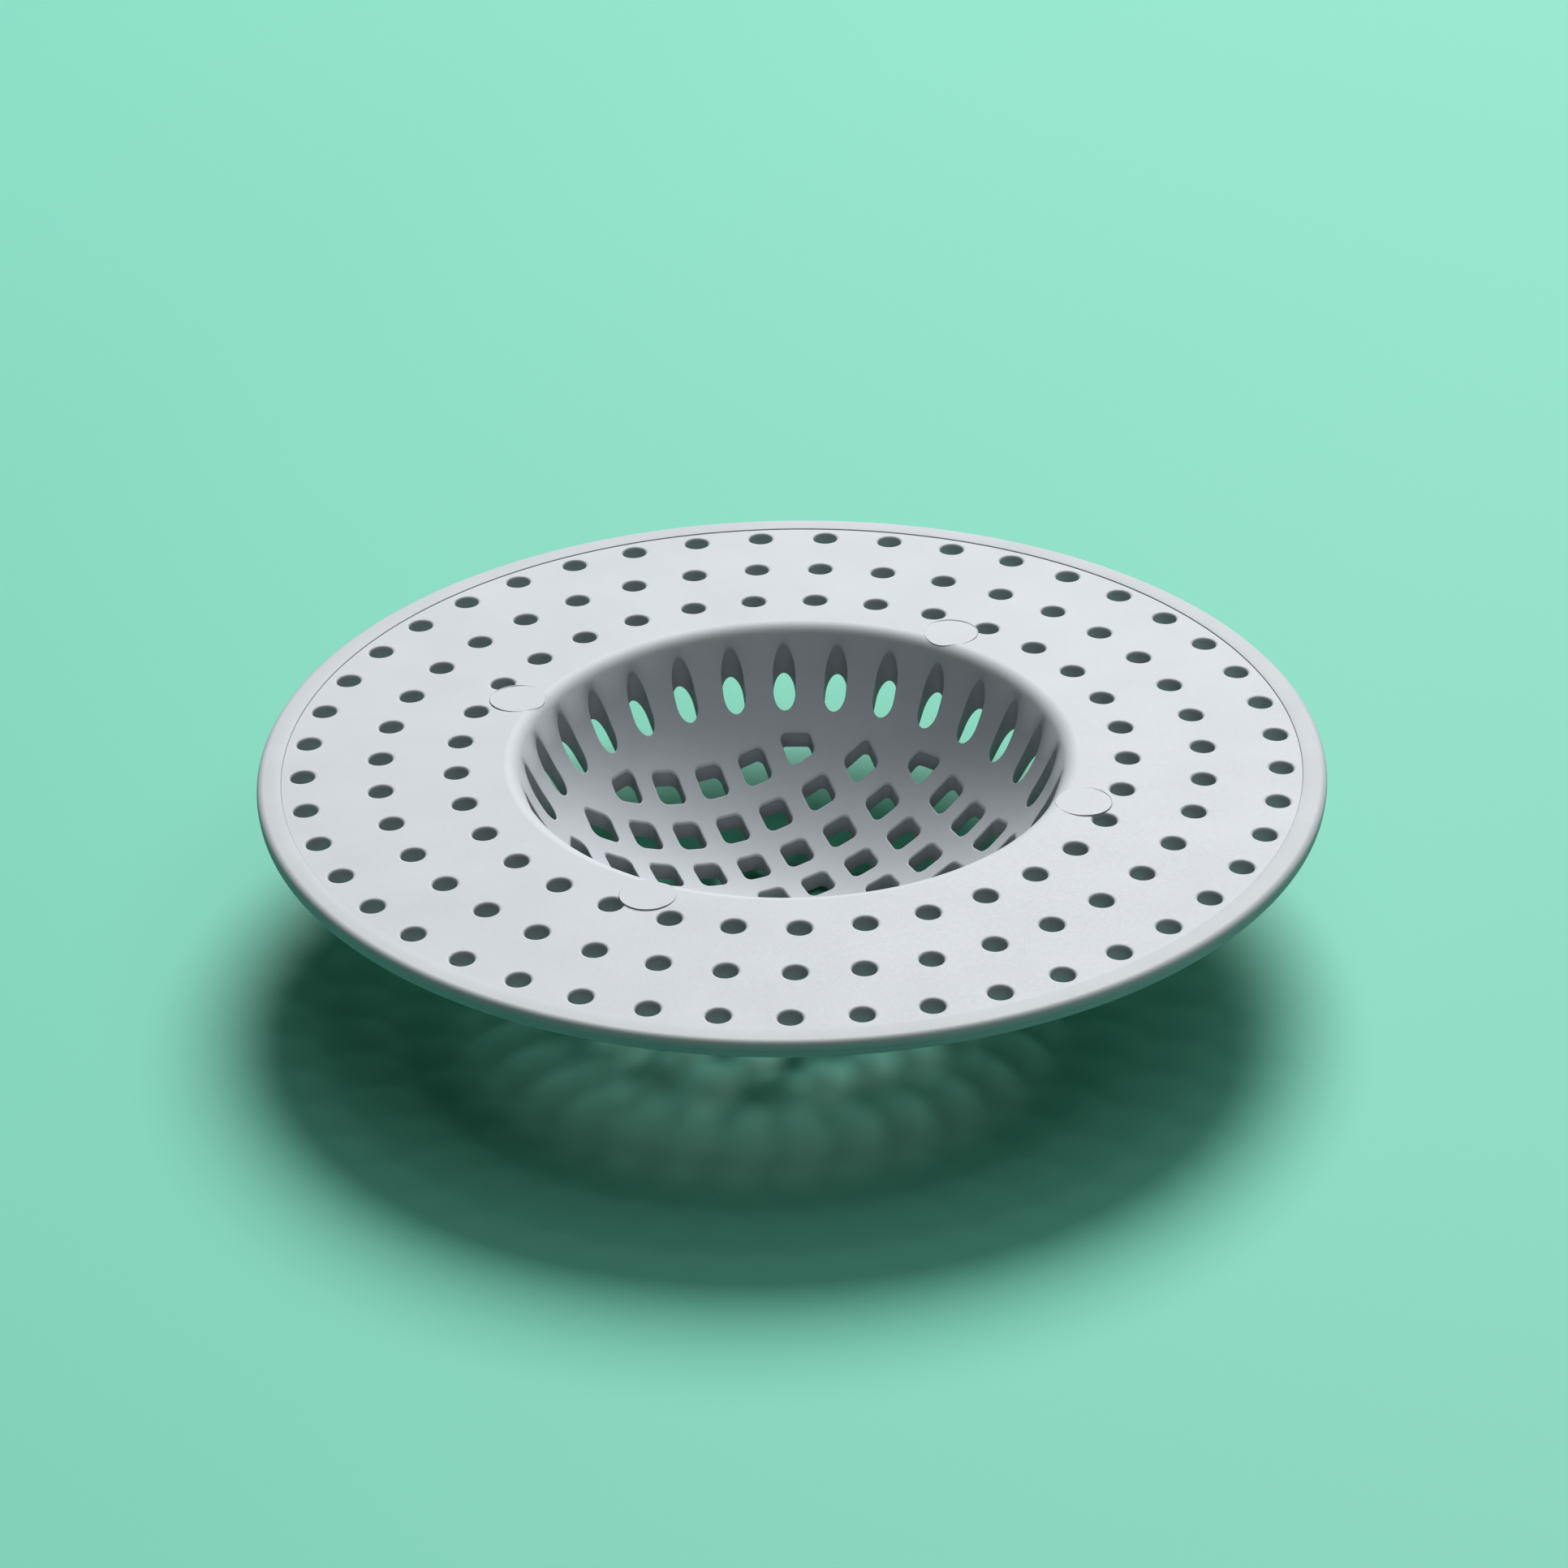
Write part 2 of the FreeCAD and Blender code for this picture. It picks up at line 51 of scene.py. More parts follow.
# %% [markdown]
# ## The camera
# The photograph was taken from afar with a long lens, a little under 30 degrees above the table. The
# picture of the flange's holes fixes all of this: 117 holes on three circles leave only one place where
# the camera can have stood. A camera could be aimed by hand with a Track To constraint, but the three
# measured directions are put straight into its matrix, so the roll of the picture comes out right too.

# %% Camera
FRAME_PIXELS = 1932
FOCAL_PIXELS = 9113.4
SENSOR_WIDTH = 36.0
CAMERA_AZIMUTH = math.radians(154.64)
CAMERA_RISE = math.radians(29.416)
CAMERA_ROLL = math.radians(-0.883)
AIM_HEIGHT = 19.97
AIM_TO_CAMERA = (0.780, -2.083, 761.0)
CLIP_START = 0.01

level_right = Vector((math.cos(CAMERA_AZIMUTH), math.sin(CAMERA_AZIMUTH), 0))
away = Vector((-level_right.y, level_right.x, 0))
forward = away * math.cos(CAMERA_RISE) - Vector((0, 0, math.sin(CAMERA_RISE)))
level_down = forward.cross(level_right)
right = level_right * math.cos(CAMERA_ROLL) - level_down * math.sin(CAMERA_ROLL)
down = level_right * math.sin(CAMERA_ROLL) + level_down * math.cos(CAMERA_ROLL)
step_right, step_down, step_forward = AIM_TO_CAMERA
camera_place = Vector((0, 0, AIM_HEIGHT)) - right * step_right - down * step_down - forward * step_forward

camera = bpy.data.objects.new("camera", bpy.data.cameras.new("camera"))
camera.data.sensor_width = SENSOR_WIDTH
camera.data.lens = FOCAL_PIXELS / FRAME_PIXELS * SENSOR_WIDTH
camera.data.clip_start = CLIP_START
camera_turn = Matrix((right, -down, -forward)).transposed().to_4x4()
camera.matrix_world = Matrix.Translation(camera_place * MM) @ camera_turn
bpy.context.collection.objects.link(camera)
bpy.context.scene.camera = camera
print("lens %.1f mm, %.0f mm away" % (camera.data.lens, step_forward))

# %% [markdown]
# ## Colours and nodes
# Colours are written the way a paint chart gives them, as sRGB hex values. Blender's sockets hold linear
# light, so one function converts them. A second one adds a shader node, sets it up and wires it in one go.

# %% Helpers for materials
def linear(hex_colour):
    """A hex sRGB colour as linear red, green, blue and alpha."""
    parts = [int(hex_colour[start:start + 2], 16) / 255 for start in (1, 3, 5)]
    return [part / 12.92 if part <= 0.04045 else ((part + 0.055) / 1.055) ** 2.4 for part in parts] + [1.0]


def add_node(tree, kind, inputs=None, **settings):
    """Adds a node to a tree, with its settings, and sets or links its inputs."""
    node = tree.nodes.new(kind)
    for name, value in settings.items():
        setattr(node, name, value)
    for name, value in (inputs or {}).items():
        if isinstance(value, bpy.types.NodeSocket):
            tree.links.new(value, node.inputs[name])
        else:
            node.inputs[name].default_value = value
    return node


print("the grey #BCBCBC sends back %.0f %% of the light" % (100 * linear("#BCBCBC")[0]))

# %% [markdown]
# ## Floor and light
# A round soft box stands behind the strainer and a little to the right, where the outline of the shadow
# puts it. So the flange shines, the back wall of the bowl lies in shade and the shadow falls towards the
# camera. A broad weak panel hangs above and lightens that shadow a little. The sky is dim and has the
# colour of the light that the sheet sends back into a small studio. The floor is a plain pale sheet. It
# isn't part of the object.

# %% Floor
FLOOR_HALF = 3.0
FLOOR_CORNERS = ((-1, -1), (1, -1), (1, 1), (-1, 1))
CARD_COLOUR = "#5BA993"
CARD_ROUGHNESS = 0.6
CARD_SHINE = 0.2

floor_mesh = bpy.data.meshes.new("floor")
floor_mesh.from_pydata([(x * FLOOR_HALF, y * FLOOR_HALF, 0) for x, y in FLOOR_CORNERS], [], [(0, 1, 2, 3)])
floor = bpy.data.objects.new("floor", floor_mesh)
bpy.context.collection.objects.link(floor)

paper = bpy.data.materials.new("pale matt card")
paper.use_nodes = True
card = paper.node_tree.nodes["Principled BSDF"]
card.inputs["Base Color"].default_value = linear(CARD_COLOUR)
card.inputs["Roughness"].default_value = CARD_ROUGHNESS
card.inputs["Specular IOR Level"].default_value = CARD_SHINE
floor_mesh.materials.append(paper)
print("floor %.0f m wide" % (2 * FLOOR_HALF))

# %% Light
SKY_COLOUR = "#7FD8B8"
SKY_STRENGTH = 0.045


def add_light(name, turn, rise, distance, width, power):
    """A round soft light that faces the strainer, in metres and watts.

    Its two angles are in degrees: to the right from straight behind the strainer, and up from the floor.
    """
    turn, rise = math.radians(turn), math.radians(rise)
    level = away * math.cos(turn) + level_right * math.sin(turn)
    towards = level * math.cos(rise) + Vector((0, 0, math.sin(rise)))
    lamp = bpy.data.objects.new(name, bpy.data.lights.new(name, "AREA"))
    lamp.data.shape = "DISK"
    lamp.data.size = width
    lamp.data.energy = power
    lamp.location = towards * distance
    lamp.rotation_euler = towards.to_track_quat("Z", "Y").to_euler()
    bpy.context.collection.objects.link(lamp)
    print("%s at %.2f, %.2f, %.2f m" % (name, *lamp.location))


add_light("soft box", turn=11, rise=45, distance=3.0, width=1.6, power=160.0)
add_light("ceiling panel", turn=90, rise=76, distance=2.6, width=3.4, power=29.0)

world = bpy.data.worlds.new("studio")
bpy.context.scene.world = world
world.use_nodes = True
sky = world.node_tree.nodes["Background"]
sky.inputs["Color"].default_value = linear(SKY_COLOUR)
sky.inputs["Strength"].default_value = SKY_STRENGTH
bpy.context.scene.view_settings.view_transform = "Standard"

# %% [markdown]
# ## The section of the strainer
# The whole strainer is round, so one half-section says almost everything: how high the inside and the
# outside are at each distance from the axis. The bottom of the bowl is part of a sphere, the wall above
# it is a tighter arc, and the lip rolls over into the flange, which falls gently outwards. Each curve
# runs smoothly into the next. Sizes are in millimetres, the same as the solids.

# %% Section of the flange
OUTER_R = 55.0
SEAM_R = 52.5
TONGUE_R = 53.7
MOUTH_R = 29.6
COLLAR_R = 32.9
MOUTH_Z = 20.96
FLANGE_THICK = 1.8
FLANGE_FALL = 1.1
FLANGE_SLOPE = FLANGE_FALL / (SEAM_R - MOUTH_R)


def flange_top(radius):
    return MOUTH_Z - FLANGE_SLOPE * (radius - MOUTH_R)


def lap_face(radius):
    return flange_top(radius) - FLANGE_THICK / 2


def flange_foot(radius):
    return flange_top(radius) - FLANGE_THICK


print("flange %.2f mm high at the mouth, %.2f at the rim" % (flange_top(MOUTH_R), flange_top(SEAM_R)))

# %% Section of the bowl
WALL = 1.8
SPHERE_DROP = 1.5
WALL_TOP_R = 29.08
BASE_Z = 1.26
LIP_ROUND = 1.8
UNDER_ROUND = 1.0
DISH_RADIUS = 31.991
DISH_EDGE = 22.644

dish_z = BASE_Z + DISH_RADIUS
turn = math.asin(DISH_EDGE / DISH_RADIUS)
dish_out = np.array([math.sin(turn), -math.cos(turn)])
dish_end = np.array([0, dish_z]) + DISH_RADIUS * dish_out
flange_normal = np.array([FLANGE_SLOPE, 1]) / math.hypot(FLANGE_SLOPE, 1)
flange_along = np.array([1, -FLANGE_SLOPE]) / math.hypot(FLANGE_SLOPE, 1)
lip_centre = np.array([MOUTH_R, MOUTH_Z]) - LIP_ROUND * flange_normal

# The side arc leaves the dish along its slope and touches the lip's circle from outside.
gap = lip_centre - dish_end
side_radius = (gap @ gap - LIP_ROUND ** 2) / (2 * (LIP_ROUND - gap @ dish_out))
side_centre = dish_end - side_radius * dish_out
lip_start = side_centre + (lip_centre - side_centre) * side_radius / (side_radius + LIP_ROUND)

# Outside, a sphere centred a little lower thins the wall upwards, and a second arc runs up to the flange.
outer_radius = DISH_RADIUS + WALL - SPHERE_DROP
outer_z = dish_z - SPHERE_DROP
outer_edge = DISH_EDGE * (DISH_RADIUS + WALL) / DISH_RADIUS
outer_turn = math.asin(outer_edge / outer_radius)
outer_out = np.array([math.sin(outer_turn), -math.cos(outer_turn)])
outer_end = np.array([0, outer_z]) + outer_radius * outer_out
gap = np.array([WALL_TOP_R, flange_foot(WALL_TOP_R)]) - outer_end
wall_radius = gap @ gap / (-2 * gap @ outer_out)
wall_centre = outer_end - wall_radius * outer_out

# Under the flange a small hollow fillet joins the bowl's wall to the collar.
under_line = np.array([MOUTH_R, MOUTH_Z - FLANGE_THICK]) - UNDER_ROUND * flange_normal
back = under_line - wall_centre
ahead = back @ flange_along
along = math.sqrt(ahead ** 2 - back @ back + (wall_radius + UNDER_ROUND) ** 2) - ahead
under_centre = under_line + along * flange_along
under_start = wall_centre + (under_centre - wall_centre) * wall_radius / (wall_radius + UNDER_ROUND)
under_end = under_centre + UNDER_ROUND * flange_normal
print("side wall radius %.2f mm, lip from %.2f mm" % (side_radius, lip_start[0]))

# %% Heights of the bowl
def arc_height(radius, centre, arc_radius, bend):
    """Height on a circle of the section: bend is -1 for its lower half, 1 for its upper half."""
    return centre[1] + bend * np.sqrt(np.maximum(arc_radius ** 2 - (radius - centre[0]) ** 2, 0))


def bowl_inside(radius):
    radius = np.asarray(radius, float)
    return np.select(
        [radius < DISH_EDGE, radius < lip_start[0], radius < MOUTH_R],
        [arc_height(radius, (0, dish_z), DISH_RADIUS, -1),
         arc_height(radius, side_centre, side_radius, -1),
         arc_height(radius, lip_centre, LIP_ROUND, 1)],
        flange_top(radius))


def bowl_outside(radius):
    radius = np.asarray(radius, float)
    round_part = np.select(
        [radius < outer_edge, radius < under_start[0], radius < under_end[0]],
        [arc_height(radius, (0, outer_z), outer_radius, -1),
         arc_height(radius, wall_centre, wall_radius, -1),
         arc_height(radius, under_centre, UNDER_ROUND, 1)],
        flange_foot(radius))
    return np.maximum(round_part, 0)


FOOT_R = math.sqrt(outer_radius ** 2 - outer_z ** 2)
print("the bowl stands on a flat foot %.1f mm across" % (2 * FOOT_R))

# %% [markdown]
# ## A mesh that keeps its normals
# Booleans would cut the holes, but they leave ragged triangles that shade badly. Here every opening is
# drawn as a loop of points instead, and each point carries the true direction of the surface as its
# normal. Faces are then only stretched between loops. Blender takes those directions as custom normals,
# so the curves look smooth however the faces lie.

# %% Moulding
ROUND_STEPS = 360
ring_angles = np.arange(ROUND_STEPS) * 2 * math.pi / ROUND_STEPS
ring_cos, ring_sin = np.cos(ring_angles), np.sin(ring_angles)


def unit(vectors):
    return vectors / np.linalg.norm(vectors, axis=-1, keepdims=True)


def round_axis(outward, upward):
    """The same vector all round the axis, given by how far it goes outwards and up."""
    return np.stack([outward * ring_cos, outward * ring_sin, np.full(ROUND_STEPS, float(upward))], 1)


class Moulding:
    """Points with normals, and faces between them, for one piece."""

    def __init__(self):
        self.points = []
        self.normals = []
        self.faces = []
        self.face_normals = []

    def add(self, points, normals):
        first = len(self.points)
        self.points.extend(np.asarray(points, float))
        self.normals.extend(unit(np.asarray(normals, float)))
        return list(range(first, len(self.points)))

    def face(self, corners, normals=None):
        self.faces.append(list(corners))
        self.face_normals.append([self.normals[corner] for corner in corners] if normals is None else normals)

    def strip(self, loop, other, loop_normals=None, other_normals=None):
        """A closed band of faces between two loops of as many points."""
        for here in range(len(loop)):
            there = (here + 1) % len(loop)
            corners = (loop[here], loop[there], other[there], other[here])
            if loop_normals is None:
                self.face(corners)
            else:
                self.face(corners, (loop_normals[here], loop_normals[there],
                                    other_normals[there], other_normals[here]))

    def ring(self, radius, height, outward, upward):
        """A circle of points about the axis."""
        return self.add(round_axis(radius, height), round_axis(outward, upward))

    def band(self, first, second, outward, upward):
        """A strip between two rings that is flat along the section, with sharp edges."""
        flat = unit(round_axis(outward, upward))
        self.strip(first, second, flat, flat)


print("rings of %d points, %.2f mm apart at the rim" % (ROUND_STEPS, 2 * math.pi * OUTER_R / ROUND_STEPS))

# %% From moulding to object
def add_piece(name, moulding, node):
    """Makes a Blender object of a moulding, in the place of a CAD node."""
    points = np.array(moulding.points)
    faces, normals = [], []
    for corners, directions in zip(moulding.faces, moulding.face_normals):
        first, second, third = (points[corner] for corner in corners[:3])
        if len(corners) == 3:
            across = np.cross(second - first, third - first)
        else:
            across = np.cross(third - first, points[corners[-1]] - second)
        facing = 1 if across @ sum(directions) > 0 else -1
        faces.append(corners[::facing])
        normals.extend(list(directions)[::facing])
    mesh = bpy.data.meshes.new(name)
    mesh.from_pydata(points * MM, [], faces)
    mesh.shade_smooth()
    mesh.normals_split_custom_set(normals)
    piece = bpy.data.objects.new(name, mesh)
    bpy.context.collection.objects.link(piece)
    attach(piece, "root")
    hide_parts(node)
    print("%s: %d faces" % (name, len(faces)))
    return piece


# %% [markdown]
# ## Openings
# All the openings are cut straight up and down, because the two halves of the mould part that way. Each
# is a simple core, grown outwards by a radius: a hole is a point, a slot is a short line, and a window of
# the grid is a small square. Growing the core a little more gives the same shape one step larger, which
# is just what a rounded edge needs.

# %% Openings
CORNER_STEP = math.radians(11)
SIDE_STEP = 0.6
HOLE_POINTS = 40
TINY = 1e-12


class Opening:
    """A convex core grown by a radius, traced as base points and outward directions in plan."""

    def __init__(self, core, radius):
        self.core = np.asarray(core, float)
        self.radius = radius
        base, directions = [], []
        count = len(self.core)
        if count == 1:
            spin = np.arange(HOLE_POINTS) * 2 * math.pi / HOLE_POINTS
            base = [self.core[0]] * HOLE_POINTS
            directions = list(zip(np.cos(spin), np.sin(spin)))
        for place in range(count if count > 1 else 0):
            here, before, after = (self.core[(place + shift) % count] for shift in (0, -1, 1))
            start = math.atan2(before[0] - here[0], here[1] - before[1])
            bend = (math.atan2(here[0] - after[0], after[1] - here[1]) - start) % (2 * math.pi)
            steps = max(1, round(bend / CORNER_STEP))
            shares = np.linspace(0, 1, steps + 1) if bend > CORNER_STEP / 2 else [0.5]
            for share in shares:
                base.append(here)
                directions.append((math.cos(start + bend * share), math.sin(start + bend * share)))
            pieces = math.ceil(np.linalg.norm(after - here) / SIDE_STEP)
            for piece in range(1, pieces):
                base.append(here + (after - here) * piece / pieces)
                directions.append((math.cos(start + bend), math.sin(start + bend)))
        self.base = np.array(base)
        self.directions = np.array(directions)

    def outline(self, grow):
        return self.base + (self.radius + grow) * self.directions

    def covers(self, plan, grow):
        """Which plan points lie inside the opening, grown by this much."""
        count = len(self.core)
        ends = np.roll(self.core, -1, 0)
        nearest = np.full(len(plan), np.inf)
        inside = np.full(len(plan), count > 2)
        for start, end in zip(self.core, ends):
            along = end - start
            share = np.clip((plan - start) @ along / max(along @ along, TINY), 0, 1)
            nearest = np.minimum(nearest, np.linalg.norm(plan - start - share[:, None] * along, axis=1))
            inside &= along[0] * (plan[:, 1] - start[1]) - along[1] * (plan[:, 0] - start[0]) > 0
        return inside | (nearest < self.radius + grow)


print("a hole has %d points" % HOLE_POINTS)

# %% [markdown]
# ## Faces of a moulding
# The upper and the lower face are first laid out flat, seen from above, with all their openings. Blender's
# constrained Delaunay triangulation fills the space between the loops with well-shaped triangles. Then
# each point is lifted to its height on the section. Spare points in between let the faces bend.

# %% Lay out one face
SLOPE_STEP = 1e-4
RING_COUNTS = np.array([6, 12, 18, 24, 36, 60, 72, 90, 120, 180, 360])
OPENING_REACH = 6.0
MERGE_DISTANCE = 1e-7


def surface_normals(plan, height, side):
    """Normals of a turned face at plan points: side is 1 for an upper face, -1 for a lower one."""
    radius = np.maximum(np.linalg.norm(plan, axis=1), TINY)
    slope = (height(radius + SLOPE_STEP) - height(radius - SLOPE_STEP)) / (2 * SLOPE_STEP)
    lean = -slope[:, None] * plan / radius[:, None]
    return side * unit(np.column_stack([lean, np.ones(len(plan))]))


def spare_points(radii, spacing):
    """Rings of points to fill a face with, about as far apart as the spacing."""
    plan = []
    for radius in radii:
        count = RING_COUNTS[np.argmin(np.abs(RING_COUNTS - 2 * math.pi * radius / spacing))]
        spin = np.arange(count) * 2 * math.pi / count
        plan.append(np.column_stack([radius * np.cos(spin), radius * np.sin(spin)]))
    return np.concatenate(plan)


def fill_face(moulding, height, side, openings, loops, rings, spare, clear):
    """Triangles between the openings' loops and the rings of one face."""
    edge_plan = np.array([moulding.points[index][:2] for loop in loops + rings for index in loop])
    tree = KDTree(len(edge_plan))
    for index, (x, y) in enumerate(edge_plan):
        tree.insert((x, y, 0), index)
    tree.balance()
    keep = np.array([tree.find((x, y, 0))[2] > clear for x, y in spare])
    for opening, grow in openings:
        near = np.linalg.norm(spare - opening.core.mean(0), axis=1) < OPENING_REACH
        keep[near] &= ~opening.covers(spare[near], grow)
    spare = spare[keep]
    heights = height(np.linalg.norm(spare, axis=1))
    free = moulding.add(np.column_stack([spare, heights]), surface_normals(spare, height, side))
    owner, index, edges = [], [], []
    for number, loop in enumerate(loops + rings):
        first = len(index)
        edges.extend((first + place, first + (place + 1) % len(loop)) for place in range(len(loop)))
        index.extend(loop)
        owner.extend([number] * len(loop))
    index.extend(free)
    owner.extend([-1] * len(free))
    plan = [Vector(moulding.points[place][:2]) for place in index]
    result = delaunay_2d_cdt(plan, edges, [], 0, MERGE_DISTANCE)
    origin = [found[0] for found in result[3]]
    outer_ring = len(loops + rings) - 1
    for triangle in result[2]:
        corners = [origin[corner] for corner in triangle]
        owners = {owner[corner] for corner in corners}
        if len(owners) == 1 and owners.isdisjoint({-1, outer_ring}):
            continue
        moulding.face([index[corner] for corner in corners])


# %% Soft edges
UPPER_STEPS = 5
LOWER_STEPS = 2
JOINT_SHARES = (0, 0.5, 1)


def soft_edge(moulding, opening, height, side, rounding, steps):
    """Loops that roll from a face into an opening's wall, and strips between them; gives the first and last."""
    outer, edge = opening.outline(rounding), opening.outline(0)
    outer_z, edge_z = (height(np.linalg.norm(plan, axis=1)) for plan in (outer, edge))
    face_normals = surface_normals(outer, height, side)
    wall_normals = np.column_stack([-opening.directions, np.zeros(len(edge))])
    loops = []
    for share in np.linspace(0, 1, steps + 1):
        rest = 1 - share
        plan = rest ** 2 * outer + (1 - rest ** 2) * edge
        z = rest ** 2 * outer_z + (1 - rest ** 2) * edge_z - share ** 2 * rounding * side
        loops.append(moulding.add(np.column_stack([plan, z]), rest * face_normals + share * wall_normals))
    for first, second in zip(loops, loops[1:]):
        moulding.strip(first, second)
    return loops[0], loops[-1]


def soft_ring(moulding, radius, height, side, inward, rounding):
    """The same at a round border of a face, as rings; inward is -1 at an outer border."""
    rings = []
    inner_r = radius + inward * rounding
    slope = (height(inner_r + SLOPE_STEP) - height(inner_r - SLOPE_STEP)) / (2 * SLOPE_STEP)
    for share in JOINT_SHARES:
        rest = 1 - share
        r = rest ** 2 * inner_r + (1 - rest ** 2) * radius
        z = rest ** 2 * height(inner_r) + (1 - rest ** 2) * height(radius) - share ** 2 * rounding * side
        rings.append(moulding.ring(r, z, -slope * side * rest - inward * share, side * rest))
    for first, second in zip(rings, rings[1:]):
        moulding.strip(first, second)
    return rings[0], rings[-1]


# %% [markdown]
# ## The flange
# Three rings of drain holes, 33, 39 and 45 of them, all start on the same line. At its inner edge the
# flange is half as thick and lies on the bowl's collar; at its outer edge a tongue sits in the rim. The
# edges of the holes are rounded like those of the real moulding, where they catch a thin line of light.

# %% Flange
HOLE_R = 1.24
HOLE_ROUND = 0.36
HOLE_FOOT_ROUND = 0.12
JOINT_ROUND = 0.08
HOLE_RINGS = ((34.5, 33), (42.4, 39), (50.3, 45))
TONGUE_SET = 0.5
TONGUE_THICK = 0.8
TONGUE_TOP = flange_top(SEAM_R) - TONGUE_SET
TONGUE_FOOT = TONGUE_TOP - TONGUE_THICK

holes = []
for ring_r, count in HOLE_RINGS:
    for spin in np.arange(count) * 2 * math.pi / count:
        holes.append(Opening([(ring_r * math.cos(spin), ring_r * math.sin(spin))], HOLE_R))

flange = Moulding()
upper_loops, lower_loops = [], []
for hole in holes:
    upper, upper_wall = soft_edge(flange, hole, flange_top, 1, HOLE_ROUND, UPPER_STEPS)
    lower, lower_wall = soft_edge(flange, hole, flange_foot, -1, HOLE_FOOT_ROUND, LOWER_STEPS)
    flange.strip(upper_wall, lower_wall)
    upper_loops.append(upper)
    lower_loops.append(lower)
print("%d holes" % len(holes))

# %% Borders and faces of the flange
FLANGE_START = 0.8
FLANGE_STEP = 1.3
FLANGE_CLEAR = 0.5

mouth = flange.ring(MOUTH_R, MOUTH_Z, FLANGE_SLOPE, 1)
lap_inner = flange.ring(MOUTH_R, lap_face(MOUTH_R), -1, 0)
lap_outer = flange.ring(COLLAR_R, lap_face(COLLAR_R), -1, 0)
step_face, step_wall = soft_ring(flange, COLLAR_R, flange_foot, -1, 1, JOINT_ROUND)
edge_face, edge_wall = soft_ring(flange, SEAM_R, flange_top, 1, -1, JOINT_ROUND)
foot_face, foot_wall = soft_ring(flange, SEAM_R, flange_foot, -1, -1, JOINT_ROUND)
tongue = [flange.ring(radius, height, 1, 0) for radius, height in (
    (SEAM_R, TONGUE_TOP), (TONGUE_R, TONGUE_TOP), (TONGUE_R, TONGUE_FOOT), (SEAM_R, TONGUE_FOOT))]
flange.band(mouth, lap_inner, -1, 0)
flange.band(lap_inner, lap_outer, -FLANGE_SLOPE, -1)
flange.band(lap_outer, step_wall, -1, 0)
flange.band(edge_wall, tongue[0], 1, 0)
flange.band(tongue[0], tongue[1], 0, 1)
flange.band(tongue[1], tongue[2], 1, 0)
flange.band(tongue[2], tongue[3], 0, -1)
flange.band(tongue[3], foot_wall, 1, 0)

flange_radii = np.arange(MOUTH_R + FLANGE_START, SEAM_R - FLANGE_CLEAR, FLANGE_STEP)
flange_spare = spare_points(flange_radii, FLANGE_STEP)
fill_face(flange, flange_top, 1, [(hole, HOLE_ROUND) for hole in holes], upper_loops,
          [mouth, edge_face], flange_spare, FLANGE_CLEAR)
under_spare = flange_spare[np.linalg.norm(flange_spare, axis=1) > COLLAR_R + FLANGE_CLEAR]
fill_face(flange, flange_foot, -1, [(hole, HOLE_FOOT_ROUND) for hole in holes], lower_loops,
          [step_face, foot_face], under_spare, FLANGE_CLEAR)
flange_piece = add_piece("flange_moulding", flange, "flange_disc")

# %% [markdown]
# ## The bowl
# Thirty upright slots ring the wall, and a square grid fills the bottom as far as a plain band. The grid
# isn't quite centred: its middle window lies half a millimetre off the axis. Windows that reach the band
# are trimmed by it, and their corners are rounded again, because a mould has no knife-sharp corners.

# %% Slots and windows
SLOT_COUNT = 30
SLOT_R = (25.699, 26.449)
SLOT_HALF = 1.175
GRID_R = 22.994
GRID_PITCH = 5.03
GRID_SHIFT = 0.45
GRID_ROWS = 9
WINDOW_HALF = 1.475
WINDOW_CORNER = 0.7
TRIM_CORNER = 0.5
TRIM_STEP = math.radians(1.5)
TRIM_STEPS = 9
CORNER_POINTS = 7


def clip(polygon, direction, limit):
    """The part of a convex polygon that lies within a limit along a direction."""
    kept = []
    for here, after in zip(polygon, np.roll(polygon, -1, 0)):
        a, b = limit - here @ direction, limit - after @ direction
        if a >= 0:
            kept.append(here)
        if a * b < 0:
            kept.append(here + (after - here) * a / (a - b))
    return np.array(kept)


def window_core(centre):
    """A rounded square, trimmed by the grid's circle; None where nothing is left of it."""
    soft = WINDOW_CORNER - TRIM_CORNER
    straight = WINDOW_HALF - WINDOW_CORNER
    corner_steps = np.linspace(0, math.pi / 2, CORNER_POINTS)
    corners = []
    for quarter, signs in enumerate(((1, 1), (-1, 1), (-1, -1), (1, -1))):
        spin = corner_steps + quarter * math.pi / 2
        rounding = np.column_stack([np.cos(spin), np.sin(spin)]) * soft
        corners.append(rounding + np.array(centre) + straight * np.array(signs))
    polygon = np.concatenate(corners)
    middle = math.atan2(centre[1], centre[0])
    for step in range(-TRIM_STEPS, TRIM_STEPS + 1):
        spin = middle + step * TRIM_STEP
        if len(polygon):
            polygon = clip(polygon, np.array([math.cos(spin), math.sin(spin)]), GRID_R - TRIM_CORNER)
    return polygon if len(polygon) > 2 else None


slots = []
for number in range(SLOT_COUNT):
    spin = (number + 0.5) * 2 * math.pi / SLOT_COUNT
    slots.append(Opening([(r * math.cos(spin), r * math.sin(spin)) for r in SLOT_R], SLOT_HALF))
windows = []
steps = (np.arange(GRID_ROWS) - (GRID_ROWS - 1) / 2) * GRID_PITCH
for x in steps:
    for y in steps + GRID_SHIFT:
        core = window_core((x, y))
        if core is not None:
            windows.append(Opening(core, TRIM_CORNER))
print("%d slots, %d windows" % (len(slots), len(windows)))

